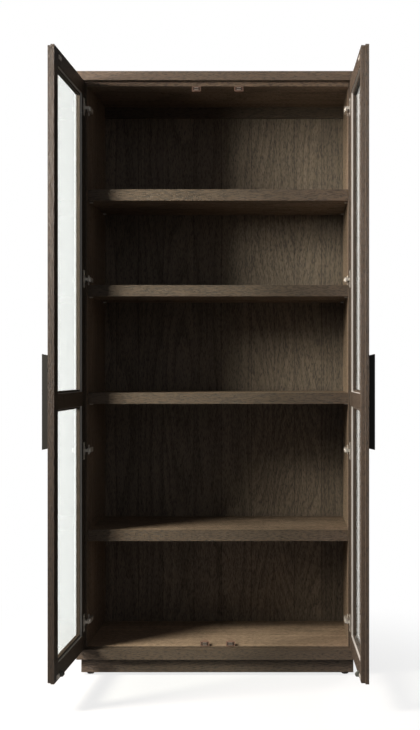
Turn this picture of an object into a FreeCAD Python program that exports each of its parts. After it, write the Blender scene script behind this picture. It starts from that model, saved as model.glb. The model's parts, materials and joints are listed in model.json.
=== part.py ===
import FreeCAD, Part
import Sketcher
import math
import os
import re

# A tall oak bookcase with two glazed doors, in millimetres, standing on the plane z = 0.
# +X is to the right of someone who faces the doors, +Y goes into the cabinet and +Z is up.
# The origin is the middle of the footprint with both doors standing open.

# ---------------------------------------------------------------- driving dimensions
SIZES = [
    ("cabinet_width", 1000, "over the ends of the top and bottom boards"),
    ("cabinet_depth", 470, "from the boards' front edges to the back"),
    ("cabinet_height", 2150, "from the ground to the top"),
    ("top_thickness", 32, "top board"),
    ("bottom_thickness", 36, "bottom board at its front ledge"),
    ("floor_step", 5.5, "the cabinet floor stands this much above the ledge"),
    ("side_thickness", 24, "side panels"),
    ("board_overhang", 8, "the boards pass the side panels by this much"),
    ("front_margin", 1, "the boards stand proud of the closed doors"),
    ("back_thickness", 8, "back panel"),
    ("back_inset", 4, "from the rear edges to the back panel"),
    ("groove_depth", 7, "grooves that hold the back panel"),
    ("stop_rail_height", 16, "rail under the top board that the doors close on"),
    ("stop_rail_depth", 70, "the same rail, front to back"),
    ("back_rail_height", 41, "rail under the top board at the back"),
    ("back_rail_thickness", 18, "the same rail"),
    ("dowel_radius", 4, "beech dowels between boards and sides"),
    ("dowel_length", 30, "half in each piece"),
    ("dowel_margin", 60, "from the front and rear edges to the first dowels"),
    ("plinth_height", 48, "plinth frame"),
    ("plinth_lift", 10, "gap between the ground and the plinth"),
    ("plinth_thickness", 20, "plinth boards"),
    ("plinth_inset", 15, "plinth behind the edges of the bottom board"),
    ("block_size", 42, "corner blocks in the plinth"),
    ("foot_inset", 9, "foot axis inside the plinth's inner corner"),
    ("foot_radius", 12.5, "pad of a levelling foot"),
    ("pad_height", 7, "pad of a levelling foot"),
    ("spindle_radius", 4, "screw spindle of a levelling foot"),
    ("spindle_length", 30, "spindle above the pad"),
    ("spindle_clearance", 0.08, "radial play of the spindle"),
    ("foot_travel", 10, "how far a foot screws out"),
    ("shelf_thickness", 40, "shelves"),
    ("shelf_setback", 22, "shelves behind the side panels' front edges"),
    ("shelf_play", 1, "gap at each end of a shelf"),
    ("shelf_back_gap", 4, "gap behind a shelf"),
    ("shelf_one_top", 1737, "top of the highest shelf above the ground"),
    ("shelf_two_top", 1393, "top of the second shelf"),
    ("shelf_three_top", 1006, "top of the third shelf, level with the doors' middle rails"),
    ("shelf_four_top", 513, "top of the lowest shelf"),
    ("support_radius", 2.5, "stem of a shelf support"),
    ("support_stem", 9, "stem inside the side panel"),
    ("support_reach", 11, "tab under the shelf"),
    ("support_width", 9, "tab, front to back"),
    ("support_tab", 4, "tab thickness"),
    ("support_margin", 45, "from a shelf's front or back edge to its supports"),
    ("door_thickness", 24, "door frames"),
    ("door_gap", 3, "between the closed doors and the carcass"),
    ("door_clearance", 2, "above and below the doors"),
    ("edge_reveal", 1, "door edge inside the side panel's face"),
    ("door_open_angle", 91.5, "how far the doors stand open"),
    ("meeting_gap", 2, "between the closed doors"),
    ("meeting_lap", 14, "one door's edge laps over the other's"),
    ("lap_play", 1, "play between the lapped halves"),
    ("rail_width", 60, "front face of rails and hinge stiles"),
    ("middle_rail_width", 66, "front face of the middle rails"),
    ("free_stile_sight", 57, "from the cabinet's middle to the glass"),
    ("rebate_width", 8, "lip in front of the glass"),
    ("lip_thickness", 4, "the same lip"),
    ("middle_rail_height", 986, "middle of the doors' middle rails above the ground"),
    ("tenon_length", 22, "stub tenons on the rails"),
    ("tenon_thickness", 8, "the same tenons"),
    ("tenon_shoulder", 9, "rail's edge to its tenon"),
    ("glass_thickness", 4, "panes"),
    ("glass_play", 1, "between a pane and its rebate"),
    ("bead_depth", 8, "glazing beads behind the glass"),
    ("hinge_inset", 8, "hinge axis inside the door's edge"),
    ("hinge_depth", 11, "hinge axis behind the door's inner face"),
    ("hinge_margin", 94, "from the door's ends to the outer hinges"),
    ("cup_radius", 17.5, "hinge cup"),
    ("cup_edge", 3, "from the door's edge to the cup"),
    ("cup_depth", 15.4, "hinge cup"),
    ("cup_wall", 0.8, "hinge cup"),
    ("flange_height", 62, "flange of the cup"),
    ("flange_width", 20, "the same flange"),
    ("flange_thickness", 1, "the same flange"),
    ("pin_radius", 1.5, "hinge pin"),
    ("pin_clearance", 0.06, "radial play of the pin"),
    ("pin_margin", 0.1, "pin ends inside the cup's outer face"),
    ("eye_radius", 2.6, "eye of the hinge arm"),
    ("arm_height", 10, "hinge arm in the cup"),
    ("arm_drop", 1.2, "arm's near face in front of the axis"),
    ("arm_thickness", 1.8, "hinge arm"),
    ("arm_standoff", 6, "from the side panel to the arm"),
    ("arm_length", 62, "arm behind the carcass front"),
    ("arm_cover_height", 16, "folded part of the arm"),
    ("arm_cover_depth", 7, "the same part, across"),
    ("plate_height", 34, "wings of the mounting plate"),
    ("plate_width", 15, "the same wings"),
    ("plate_thickness", 2.5, "the same wings"),
    ("plate_setback", 30, "wings behind the carcass front"),
    ("plate_screw_pitch", 24, "screws in a mounting plate"),
    ("cup_screw_pitch", 48, "screws in a cup's flange"),
    ("screw_head_radius", 3.6, "heads of the small screws"),
    ("screw_head_height", 1.4, "the same heads"),
    ("screw_shank_radius", 1.7, "shanks of the small screws"),
    ("screw_length", 12, "shanks of the small screws"),
    ("top_catch_offset", 76, "top catches from the cabinet's middle"),
    ("bottom_catch_offset", 46, "bottom catches from the cabinet's middle"),
    ("catch_width", 33, "magnetic catch with its ears"),
    ("catch_body_width", 18, "housing between the ears"),
    ("catch_height", 17.5, "magnetic catch"),
    ("catch_depth", 26, "magnetic catch"),
    ("catch_ear", 4, "ears of the catch"),
    ("catch_nose", 1.2, "catch in front of the carcass"),
    ("pole_thickness", 2, "steel pole plates in the catch"),
    ("strike_width", 36, "steel plate on the door"),
    ("strike_height", 13, "the same plate"),
    ("strike_thickness", 1.5, "the same plate"),
    ("glide_offset", 80, "support glide from the cabinet's middle"),
    ("glide_width", 16, "block on the door's foot that lands on the floor"),
    ("glide_height", 17, "the same block"),
    ("glide_reach", 13.5, "the same block, out of the door"),
    ("glide_clearance", 0.5, "between the block and the floor"),
    ("handle_length", 305, "outer edge of a handle"),
    ("handle_taper", 4.5, "a handle is this much shorter at each end of its root"),
    ("handle_reach", 21, "handle in front of the door"),
    ("handle_thickness", 3, "steel of a handle"),
    ("handle_base", 24, "flange of a handle on the door"),
    ("handle_inset", 12, "from the shorter door edge to the handle"),
    ("handle_screw_pitch", 192, "screws in a handle"),
    ("handle_screw_radius", 2, "the same screws"),
]

doc = FreeCAD.newDocument("glass_door_bookcase")
sheet = doc.addObject("Spreadsheet::Sheet", "Sizes")
for row, (alias, value, note) in enumerate(SIZES, start=1):
    sheet.set(f"A{row}", note)
    sheet.set(f"B{row}", str(value))
    sheet.setAlias(f"B{row}", alias)
doc.recompute()

ALIAS_WORDS = re.compile(r"\b(" + "|".join(alias for alias, value, note in SIZES) + r")\b")
NODES = []

# ---------------------------------------------------------------- worked-out places
FRONT_PROJECTION = "(door_gap + door_thickness + front_margin)"
HALF_SPAN = "(cabinet_width / 2 - board_overhang - edge_reveal)"
SHORT_EDGE = f"({HALF_SPAN} - meeting_lap / 2 - meeting_gap / 2)"
LONG_EDGE = f"({HALF_SPAN} + meeting_lap / 2 - meeting_gap / 2)"
DOOR_REACH = (
    f"(door_gap + hinge_depth + ({LONG_EDGE} - hinge_inset) * sin(door_open_angle * 1 deg)"
    " - hinge_depth * cos(door_open_angle * 1 deg))"
)
FRONT = f"(({DOOR_REACH} + {FRONT_PROJECTION} - cabinet_depth) / 2)"
REAR = f"({FRONT} + cabinet_depth - {FRONT_PROJECTION})"
BACK_FACE = f"({REAR} - back_inset - back_thickness)"
BOARD_UNDERSIDE = "(plinth_lift + plinth_height)"
LEDGE = f"({BOARD_UNDERSIDE} + bottom_thickness)"
FLOOR = f"({LEDGE} + floor_step)"
CEILING = "(cabinet_height - top_thickness)"
SIDE_FACE = "(cabinet_width / 2 - board_overhang)"
INNER_FACE = f"({SIDE_FACE} - side_thickness)"
DOOR_BOTTOM = f"({LEDGE} + door_clearance)"
DOOR_TOP = f"({CEILING} - door_clearance)"
HINGE_X = f"({HALF_SPAN} - hinge_inset)"
HINGE_Y = f"({FRONT} - door_gap - hinge_depth)"
SHELF_TOPS = ["shelf_one_top", "shelf_two_top", "shelf_three_top", "shelf_four_top"]
SIDES = (("left", -1), ("right", 1))
DOWN_THE_DOOR = 4


def hinge_height(number):
    """Height of a hinge: the outer two keep their margin, the others are spread between them."""
    share = number / (DOWN_THE_DOOR - 1)
    return f"({DOOR_BOTTOM} + hinge_margin + ({DOOR_TOP} - {DOOR_BOTTOM} - 2 * hinge_margin) * {share})"


# ---------------------------------------------------------------- building helpers
def bind(thing, prop, text):
    thing.setExpression(prop, ALIAS_WORDS.sub(r"Sizes.\1", str(text)))


def move_to(thing, x, y, z):
    for axis, text in zip("xyz", (x, y, z)):
        bind(thing, f"Placement.Base.{axis}", text)


def node(thing, name):
    """Names a finished sub-part; the name is also its file's."""
    thing.Label = name
    NODES.append(thing)
    return thing


def mirrored(sign, low, high):
    """A span measured outwards from the middle or a hinge, on the left (-1) or the right (1)."""
    return (low, high) if sign > 0 else (f"-({high})", f"-({low})")


def block(x, y, z):
    """A rectangular piece from three (low, high) spans."""
    thing = doc.addObject("Part::Box", "block")
    for prop, (low, high) in zip(("Length", "Width", "Height"), (x, y, z)):
        bind(thing, prop, f"({high}) - ({low})")
    move_to(thing, x[0], y[0], z[0])
    return thing


TURNS = {
    "x": FreeCAD.Rotation(FreeCAD.Vector(0, 1, 0), 90),
    "y": FreeCAD.Rotation(FreeCAD.Vector(1, 0, 0), -90),
    "z": FreeCAD.Rotation(),
}


def rod(along, start, radius, length, tip_radius=None):
    """A round bar from start along +x, +y or +z; with a tip radius it is a cone."""
    thing = doc.addObject("Part::Cylinder" if tip_radius is None else "Part::Cone", "rod")
    thing.Placement = FreeCAD.Placement(FreeCAD.Vector(), TURNS[along])
    if tip_radius is None:
        bind(thing, "Radius", radius)
    else:
        bind(thing, "Radius1", radius)
        bind(thing, "Radius2", tip_radius)
    bind(thing, "Height", length)
    move_to(thing, *start)
    return thing


def joined(pieces):
    if len(pieces) == 1:
        return pieces[0]
    thing = doc.addObject("Part::MultiFuse", "joined")
    thing.Shapes = pieces
    thing.Refine = True
    return thing


def together(pieces):
    """Separate solids kept in one sub-part."""
    thing = doc.addObject("Part::Compound", "together")
    thing.Links = pieces
    return thing


def cut(body, tools):
    thing = doc.addObject("Part::Cut", "cut")
    thing.Base = body
    thing.Tool = tools[0] if len(tools) == 1 else together(tools)
    return thing


def origin_plane(body, role):
    return next(part for part in body.Origin.OriginFeatures if part.Role == role)


def outline(body, role, corners):
    """A closed outline on one of the body's planes, each corner held to the sheet."""
    sketch = body.newObject("Sketcher::SketchObject", "outline")
    sketch.AttachmentSupport = [(origin_plane(body, role), "")]
    sketch.MapMode = "FlatFace"
    count = len(corners)
    start = [
        FreeCAD.Vector(math.cos(2 * math.pi * turn / count), math.sin(2 * math.pi * turn / count), 0)
        for turn in range(count)
    ]
    for number in range(count):
        sketch.addGeometry(Part.LineSegment(start[number], start[(number + 1) % count]), False)
    for number in range(count):
        sketch.addConstraint(Sketcher.Constraint("Coincident", number, 2, (number + 1) % count, 1))
    for number, corner in enumerate(corners):
        for kind, text, value in zip(("DistanceX", "DistanceY"), corner, start[number]):
            if text == "0":
                line = -2 if kind == "DistanceX" else -1
                sketch.addConstraint(Sketcher.Constraint("PointOnObject", number, 1, line))
            else:
                held = sketch.addConstraint(Sketcher.Constraint(kind, -1, 1, number, 1, value))
                name = f"{kind[-1].lower()}_{number}"
                sketch.renameConstraint(held, name)
                bind(sketch, f"Constraints.{name}", text)
    return sketch


def padded(role, corners, length):
    """A body made by padding an outline along its plane's normal."""
    body = doc.addObject("PartDesign::Body", "body")
    sketch = outline(body, role, corners)
    pad = body.newObject("PartDesign::Pad", "pad")
    pad.Profile = sketch
    bind(pad, "Length", length)
    sketch.Visibility = False
    return body


def turned(corners):
    """A body made by turning an outline of (radius, height) corners about the Z axis."""
    body = doc.addObject("PartDesign::Body", "body")
    sketch = outline(body, "XZ_Plane", corners)
    revolution = body.newObject("PartDesign::Revolution", "revolution")
    revolution.Profile = sketch
    revolution.ReferenceAxis = (sketch, ["V_Axis"])
    revolution.Angle = 360
    return body


def screw(along, start, toward):
    """A small pan-head screw: its head stands at start, and its shank goes the other way."""
    x, y, z = start
    step = {"x": (1, 0, 0), "y": (0, 1, 0), "z": (0, 0, 1)}[along]
    if toward > 0:
        shank_start, head_start = start, [f"{a} - {s} * screw_head_height" for a, s in zip(start, step)]
    else:
        shank_start = [f"{a} - {s} * screw_length" for a, s in zip(start, step)]
        head_start = start
    shank = rod(along, shank_start, "screw_shank_radius", "screw_length")
    head = rod(along, head_start, "screw_head_radius", "screw_head_height")
    return joined([shank, head])


def screw_hole(along, start, toward):
    """The hole of the same screw."""
    step = {"x": (1, 0, 0), "y": (0, 1, 0), "z": (0, 0, 1)}[along]
    if toward < 0:
        start = [f"{a} - {s} * screw_length" for a, s in zip(start, step)]
    return rod(along, start, "screw_shank_radius", "screw_length")


# ---------------------------------------------------------------- carcass
def dowel_places():
    """Across and front-to-back places of the dowels, on both sides."""
    depth = f"({REAR} - {FRONT})"
    middle = f"({SIDE_FACE} - side_thickness / 2)"
    for sign in (-1, 1):
        for share in (0, 0.5, 1):
            y = f"{FRONT} + dowel_margin + ({depth} - 2 * dowel_margin) * {share}"
            yield f"{sign} * {middle}", y


def dowel_set():
    rods = []
    for x, y in dowel_places():
        for joint in (FLOOR, CEILING):
            rods.append(rod("z", (x, y, f"{joint} - dowel_length / 2"), "dowel_radius", "dowel_length"))
    return rods


def foot_places():
    """Foot axes, as signs and places: at the plinth's four inner corners."""
    x = "(cabinet_width / 2 - plinth_inset - plinth_thickness - foot_inset)"
    front = f"({FRONT} - {FRONT_PROJECTION} + plinth_inset + plinth_thickness + foot_inset)"
    rear = f"({REAR} - plinth_inset - plinth_thickness - foot_inset)"
    for end, y, ahead in (("front", front, 1), ("back", rear, -1)):
        for side, sign in SIDES:
            yield f"{end}_{side}", f"{sign} * {x}", y, sign, ahead


def catch_places():
    """Offset, mounting face and which way the catch stands from it."""
    yield "top", "top_catch_offset", f"({CEILING} - stop_rail_height)", -1
    yield "bottom", "bottom_catch_offset", FLOOR, 1


def catch_screw_spots():
    for end, offset, face, up in catch_places():
        for sign in (-1, 1):
            for ear in (-1, 1):
                x = f"{sign} * {offset} + {ear} * (catch_width + catch_body_width) / 4"
                yield end, x, f"{FRONT} + catch_depth / 2", face, up


def make_top_panel():
    board = block(
        ("-cabinet_width / 2", "cabinet_width / 2"),
        (f"{FRONT} - {FRONT_PROJECTION}", REAR),
        (CEILING, "cabinet_height"),
    )
    groove = block(
        (f"-({INNER_FACE} + groove_depth)", f"{INNER_FACE} + groove_depth"),
        (BACK_FACE, f"{BACK_FACE} + back_thickness"),
        (CEILING, f"{CEILING} + groove_depth"),
    )
    node(cut(board, [groove] + dowel_set()), "top_panel")


def make_bottom_panel():
    section = [
        (f"{FRONT} - {FRONT_PROJECTION}", BOARD_UNDERSIDE),
        (REAR, BOARD_UNDERSIDE),
        (REAR, FLOOR),
        (FRONT, FLOOR),
        (FRONT, LEDGE),
        (f"{FRONT} - {FRONT_PROJECTION}", LEDGE),
    ]
    board = padded("YZ_Plane", section, "cabinet_width")
    bind(board, "Placement.Base.x", "-cabinet_width / 2")
    groove = block(
        (f"-({INNER_FACE} + groove_depth)", f"{INNER_FACE} + groove_depth"),
        (BACK_FACE, f"{BACK_FACE} + back_thickness"),
        (f"{FLOOR} - groove_depth", FLOOR),
    )
    screws = [
        screw_hole("z", (x, y, face), -up)
        for end, x, y, face, up in catch_screw_spots()
        if end == "bottom"
    ]
    node(cut(board, [groove] + dowel_set() + screws), "bottom_panel")


def shelf_support_places():
    """Front-to-back places of a shelf's supports."""
    yield f"{FRONT} + shelf_setback + support_margin"
    yield f"{BACK_FACE} - shelf_back_gap - support_margin"


def support_stem(sign, y, top):
    """The stem of a shelf support, which is also its hole in the side panel."""
    start = INNER_FACE if sign > 0 else f"-({INNER_FACE} + support_stem)"
    z = f"{top} - shelf_thickness - support_tab / 2"
    return rod("x", (start, y, z), "support_radius", "support_stem")


def plate_screw_spots():
    for number in range(DOWN_THE_DOOR):
        for end in (-1, 1):
            z = f"{hinge_height(number)} + {end} * plate_screw_pitch / 2"
            yield f"{FRONT} + plate_setback + plate_width / 2", z


def make_side_panels():
    for side, sign in SIDES:
        panel = block(mirrored(sign, INNER_FACE, SIDE_FACE), (FRONT, REAR), (FLOOR, CEILING))
        groove = block(
            mirrored(sign, INNER_FACE, f"{INNER_FACE} + groove_depth"),
            (BACK_FACE, f"{BACK_FACE} + back_thickness"),
            (FLOOR, CEILING),
        )
        holes = [
            support_stem(sign, y, top) for top in SHELF_TOPS for y in shelf_support_places()
        ]
        holes += [screw_hole("x", (f"{sign} * {INNER_FACE}", y, z), sign) for y, z in plate_screw_spots()]
        node(cut(panel, [groove] + holes + dowel_set()), f"{side}_side_panel")


def make_back_panel():
    panel = block(
        (f"-({INNER_FACE} + groove_depth)", f"{INNER_FACE} + groove_depth"),
        (BACK_FACE, f"{BACK_FACE} + back_thickness"),
        (f"{FLOOR} - groove_depth", f"{CEILING} + groove_depth"),
    )
    node(panel, "back_panel")


def make_top_rails():
    across = (f"-{INNER_FACE}", INNER_FACE)
    rail = block(
        across,
        (FRONT, f"{FRONT} + stop_rail_depth"),
        (f"{CEILING} - stop_rail_height", CEILING),
    )
    screws = [
        screw_hole("z", (x, y, face), -up)
        for end, x, y, face, up in catch_screw_spots()
        if end == "top"
    ]
    node(cut(rail, screws), "top_front_rail")
    back = (f"{BACK_FACE} - back_rail_thickness", BACK_FACE)
    node(block(across, back, (f"{CEILING} - back_rail_height", CEILING)), "back_top_rail")


def make_plinth():
    outer = "(cabinet_width / 2 - plinth_inset)"
    front = f"({FRONT} - {FRONT_PROJECTION} + plinth_inset)"
    rear = f"({REAR} - plinth_inset)"
    height = ("plinth_lift", BOARD_UNDERSIDE)
    across = (f"-{outer}", outer)
    node(block(across, (front, f"{front} + plinth_thickness"), height), "plinth_front")
    node(block(across, (f"{rear} - plinth_thickness", rear), height), "plinth_back")
    between = (f"{front} + plinth_thickness", f"{rear} - plinth_thickness")
    for side, sign in SIDES:
        span = mirrored(sign, f"{outer} - plinth_thickness", outer)
        node(block(span, between, height), f"plinth_{side}")


def corner_span(at, outwards):
    """A corner block's span about its foot, which stands nearer to the outer side (-1 or 1)."""
    if outwards > 0:
        return f"{at} + foot_inset - block_size", f"{at} + foot_inset"
    return f"{at} - foot_inset", f"{at} - foot_inset + block_size"


def make_feet():
    """Corner blocks with a threaded bush's bore each, and the feet that screw into them."""
    blocks = []
    for place, x, y, sign, ahead in foot_places():
        spans = (corner_span(x, sign), corner_span(y, -ahead))
        solid = block(*spans, ("plinth_lift", BOARD_UNDERSIDE))
        bore = rod("z", (x, y, "plinth_lift"), "spindle_radius + spindle_clearance", "plinth_height")
        blocks.append(cut(solid, [bore]))
        foot = turned(
            [
                ("0", "0"),
                ("foot_radius - 1.5", "0"),
                ("foot_radius", "1.5"),
                ("foot_radius", "pad_height - 2"),
                ("foot_radius * 0.55", "pad_height"),
                ("spindle_radius", "pad_height"),
                ("spindle_radius", "pad_height + spindle_length"),
                ("0", "pad_height + spindle_length"),
            ]
        )
        move_to(foot, x, y, "0")
        node(foot, f"{place}_foot")
    node(together(blocks), "foot_blocks")


def make_shelves():
    supports = []
    for number, top in enumerate(SHELF_TOPS, start=1):
        board = block(
            (f"-({INNER_FACE} - shelf_play)", f"{INNER_FACE} - shelf_play"),
            (f"{FRONT} + shelf_setback", f"{BACK_FACE} - shelf_back_gap"),
            (f"{top} - shelf_thickness", top),
        )
        node(board, f"shelf_{number}")
        for side, sign in SIDES:
            for y in shelf_support_places():
                tab = block(
                    mirrored(sign, f"{INNER_FACE} - support_reach", INNER_FACE),
                    (f"{y} - support_width / 2", f"{y} + support_width / 2"),
                    (f"{top} - shelf_thickness - support_tab", f"{top} - shelf_thickness"),
                )
                supports.append(joined([support_stem(sign, y, top), tab]))
    node(together(supports), "shelf_supports")


def make_catches():
    """Magnetic catches: a moulded housing with ears, and two steel pole plates in its mouth."""
    for end, offset, face, up in catch_places():
        pieces = []
        for sign in (-1, 1):
            middle = f"{sign} * {offset}"
            low, high = mirrored(up, "0", "catch_height")
            height = (f"{face} + {low}", f"{face} + {high}")
            body = block(
                (f"{middle} - catch_body_width / 2", f"{middle} + catch_body_width / 2"),
                (f"{FRONT} - catch_nose", f"{FRONT} + catch_depth"),
                height,
            )
            low, high = mirrored(up, "0", "catch_ear")
            ears = block(
                (f"{middle} - catch_width / 2", f"{middle} + catch_width / 2"),
                (f"{FRONT} + catch_ear", f"{FRONT} + catch_depth - catch_ear"),
                (f"{face} + {low}", f"{face} + {high}"),
            )
            plates = []
            for shelf in (0.3, 0.7):
                level = f"{face} + {up} * catch_height * {shelf}"
                plates.append(
                    block(
                        (f"{middle} - catch_body_width / 2 + 3", f"{middle} + catch_body_width / 2 - 3"),
                        (f"{FRONT} - catch_nose", f"{FRONT} + catch_depth - catch_ear"),
                        (f"{level} - pole_thickness / 2", f"{level} + pole_thickness / 2"),
                    )
                )
            holes = [
                rod("z", (x, y, f"{face} - catch_ear"), "screw_shank_radius", "2 * catch_ear")
                for place, x, y, spot, way in catch_screw_spots()
                if place == end
            ]
            pieces.append(cut(joined([body, ears]), plates + holes))
            pieces += plates
        node(together(pieces), f"{end}_catches")
    screws = [
        screw("z", (x, y, f"{face} + {up} * catch_ear"), -up)
        for end, x, y, face, up in catch_screw_spots()
    ]
    node(together(screws), "catch_screws")


# ---------------------------------------------------------------- hinges
def make_hinge_arms_and_plates():
    """The fixed half of each hinge: a winged plate on the side panel and the arm clipped to it."""
    screws = []
    for side, sign in SIDES:
        arms = []
        plates = []
        for number in range(DOWN_THE_DOOR):
            z = hinge_height(number)
            arm_face = f"({INNER_FACE} - arm_standoff)"
            wings = block(
                mirrored(sign, f"{INNER_FACE} - plate_thickness", INNER_FACE),
                (f"{FRONT} + plate_setback", f"{FRONT} + plate_setback + plate_width"),
                (f"{z} - plate_height / 2", f"{z} + plate_height / 2"),
            )
            spine = block(
                mirrored(sign, arm_face, INNER_FACE),
                (f"{FRONT} + 4", f"{FRONT} + arm_length - 4"),
                (f"{z} - arm_cover_height / 2 + 2", f"{z} + arm_cover_height / 2 - 2"),
            )
            holes = [
                rod(
                    "x",
                    (f"{sign} * {INNER_FACE} - 5", y, f"{z} + {end} * plate_screw_pitch / 2"),
                    "screw_shank_radius",
                    10,
                )
                for end in (-1, 1)
                for y in [f"{FRONT} + plate_setback + plate_width / 2"]
            ]
            plates.append(cut(joined([wings, spine]), holes))
            cover = block(
                mirrored(sign, f"{arm_face} - arm_cover_depth", arm_face),
                (f"{FRONT} + 1", f"{FRONT} + arm_length"),
                (f"{z} - arm_cover_height / 2", f"{z} + arm_cover_height / 2"),
            )
            low, high = f"{z} - arm_height / 2", f"{z} + arm_height / 2"
            near = f"({HINGE_Y} - arm_drop)"
            neck = block(
                mirrored(sign, f"{arm_face} - arm_cover_depth / 2", f"{arm_face} - 0.5"),
                (f"{near} - arm_thickness", f"{FRONT} + 1"),
                (low, high),
            )
            tongue = block(
                mirrored(sign, f"{arm_face} - 0.5", HINGE_X),
                (f"{near} - arm_thickness", near),
                (low, high),
            )
            eye = rod("z", (f"{sign} * {HINGE_X}", HINGE_Y, low), "eye_radius", "arm_height")
            bore = rod(
                "z",
                (f"{sign} * {HINGE_X}", HINGE_Y, f"{low} - 1"),
                "pin_radius + pin_clearance",
                "arm_height + 2",
            )
            arms.append(cut(joined([cover, neck, tongue, eye]), [bore]))
        node(together(plates), f"{side}_hinge_plates")
        node(together(arms), f"{side}_hinge_arms")
        for y, z in plate_screw_spots():
            start = (f"{sign} * ({INNER_FACE} - plate_thickness)", y, z)
            screws.append(screw("x", start, sign))
    node(together(screws), "hinge_plate_screws")


# ---------------------------------------------------------------- doors
# A door is drawn closed, about its hinge axis: u runs from its hinge edge to its free edge,
# w from its inner face out to its front, and z is the height above the ground.
def across_door(sign, low, high):
    """A span of u as a span of x; the left door's u runs to +x and the right door's to -x."""
    return mirrored(-sign, f"{low} - hinge_inset", f"{high} - hinge_inset")


def through_door(low, high):
    """A span of w as a span of y."""
    return f"hinge_depth - ({high})", f"hinge_depth - ({low})"


def door_block(sign, u, w, z):
    return block(across_door(sign, *u), through_door(*w), z)


def hang(thing, sign, name):
    """Hangs a finished door piece on its hinge axis, at the angle that the door stands open."""
    turn = FreeCAD.Rotation(FreeCAD.Vector(0, 0, sign), 90)
    thing.Placement = FreeCAD.Placement(FreeCAD.Vector(), turn)
    bind(thing, "Placement.Rotation.Angle", "door_open_angle")
    move_to(thing, f"{sign} * {HINGE_X}", HINGE_Y, "0")
    node(thing, name)


LIP_FACE = "(door_thickness - lip_thickness)"
STILE_REBATE = "(rail_width - rebate_width)"
FREE_SIGHT = f"({HALF_SPAN} - free_stile_sight)"
FREE_REBATE = f"({FREE_SIGHT} + rebate_width)"
TENON_W = ("door_thickness / 2 - tenon_thickness / 2", "door_thickness / 2 + tenon_thickness / 2")
MIDDLE_HALF = "(middle_rail_width / 2 - rebate_width)"
PANES = {
    "upper": (f"middle_rail_height + {MIDDLE_HALF}", f"{DOOR_TOP} - {STILE_REBATE}"),
    "lower": (f"{DOOR_BOTTOM} + {STILE_REBATE}", f"middle_rail_height - {MIDDLE_HALF}"),
}
RAILS = {
    "top_rail": (f"{DOOR_TOP} - {STILE_REBATE}", DOOR_TOP, True, False),
    "middle_rail": (
        f"middle_rail_height - {MIDDLE_HALF}",
        f"middle_rail_height + {MIDDLE_HALF}",
        True,
        True,
    ),
    "bottom_rail": (DOOR_BOTTOM, f"{DOOR_BOTTOM} + {STILE_REBATE}", False, True),
}
HANDLE_U = f"({SHORT_EDGE} - handle_inset)"


def tenons(sign, low, high):
    """Both stub tenons of a rail, which are also the mortises in the stiles."""
    z = (f"{low} + tenon_shoulder", f"{high} - tenon_shoulder")
    hinge_side = (f"{STILE_REBATE} - tenon_length", STILE_REBATE)
    free_side = (FREE_REBATE, f"{FREE_REBATE} + tenon_length")
    return [door_block(sign, u, TENON_W, z) for u in (hinge_side, free_side)]


def handle_screw_heights():
    return [f"middle_rail_height + {end} * handle_screw_pitch / 2" for end in (-1, 1)]


def cup_screw_spots():
    """Places (u, z) of the screws in the cups' flanges."""
    for number in range(DOWN_THE_DOOR):
        for end in (-1, 1):
            z = f"{hinge_height(number)} + {end} * cup_screw_pitch / 2"
            yield "cup_edge + cup_radius + 4", z


def strike_places():
    """Places (u, z) of the steel plates that meet the catches."""
    yield f"({HALF_SPAN} - top_catch_offset)", f"({CEILING} - stop_rail_height - catch_height / 2)"
    yield f"({HALF_SPAN} - bottom_catch_offset)", f"({FLOOR} + catch_height / 2)"


def door_screw_spots():
    """(u, depth of the screw's seat above the inner face, z) of every small screw in a door."""
    for u, z in cup_screw_spots():
        yield u, "flange_thickness", z
    for u, z in strike_places():
        for end in (-1, 1):
            yield f"{u} + {end} * (strike_width / 2 - 4)", "strike_thickness", z


def door_point(sign, u, w, z):
    """A point of the door about its hinge axis."""
    return f"{-sign} * ({u} - hinge_inset)", f"hinge_depth - ({w})", z


def door_screw_holes(sign, keep):
    """Screw holes in the frame for the screws whose u and z a test keeps."""
    return [
        screw_hole("y", door_point(sign, u, f"-({seat})", z), -1)
        for u, seat, z in door_screw_spots()
        if keep(u, z)
    ]


def stile(sign, u_corners, cuts, name):
    """A full-height stile: its section is padded up from the door's foot, then cut."""
    section = [(f"{-sign} * ({u} - hinge_inset)", f"hinge_depth - {w}") for u, w in u_corners]
    body = padded("XY_Plane", section, f"{DOOR_TOP} - {DOOR_BOTTOM}")
    bind(body, "Placement.Base.z", DOOR_BOTTOM)
    hang(cut(body, cuts), sign, name)


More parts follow.
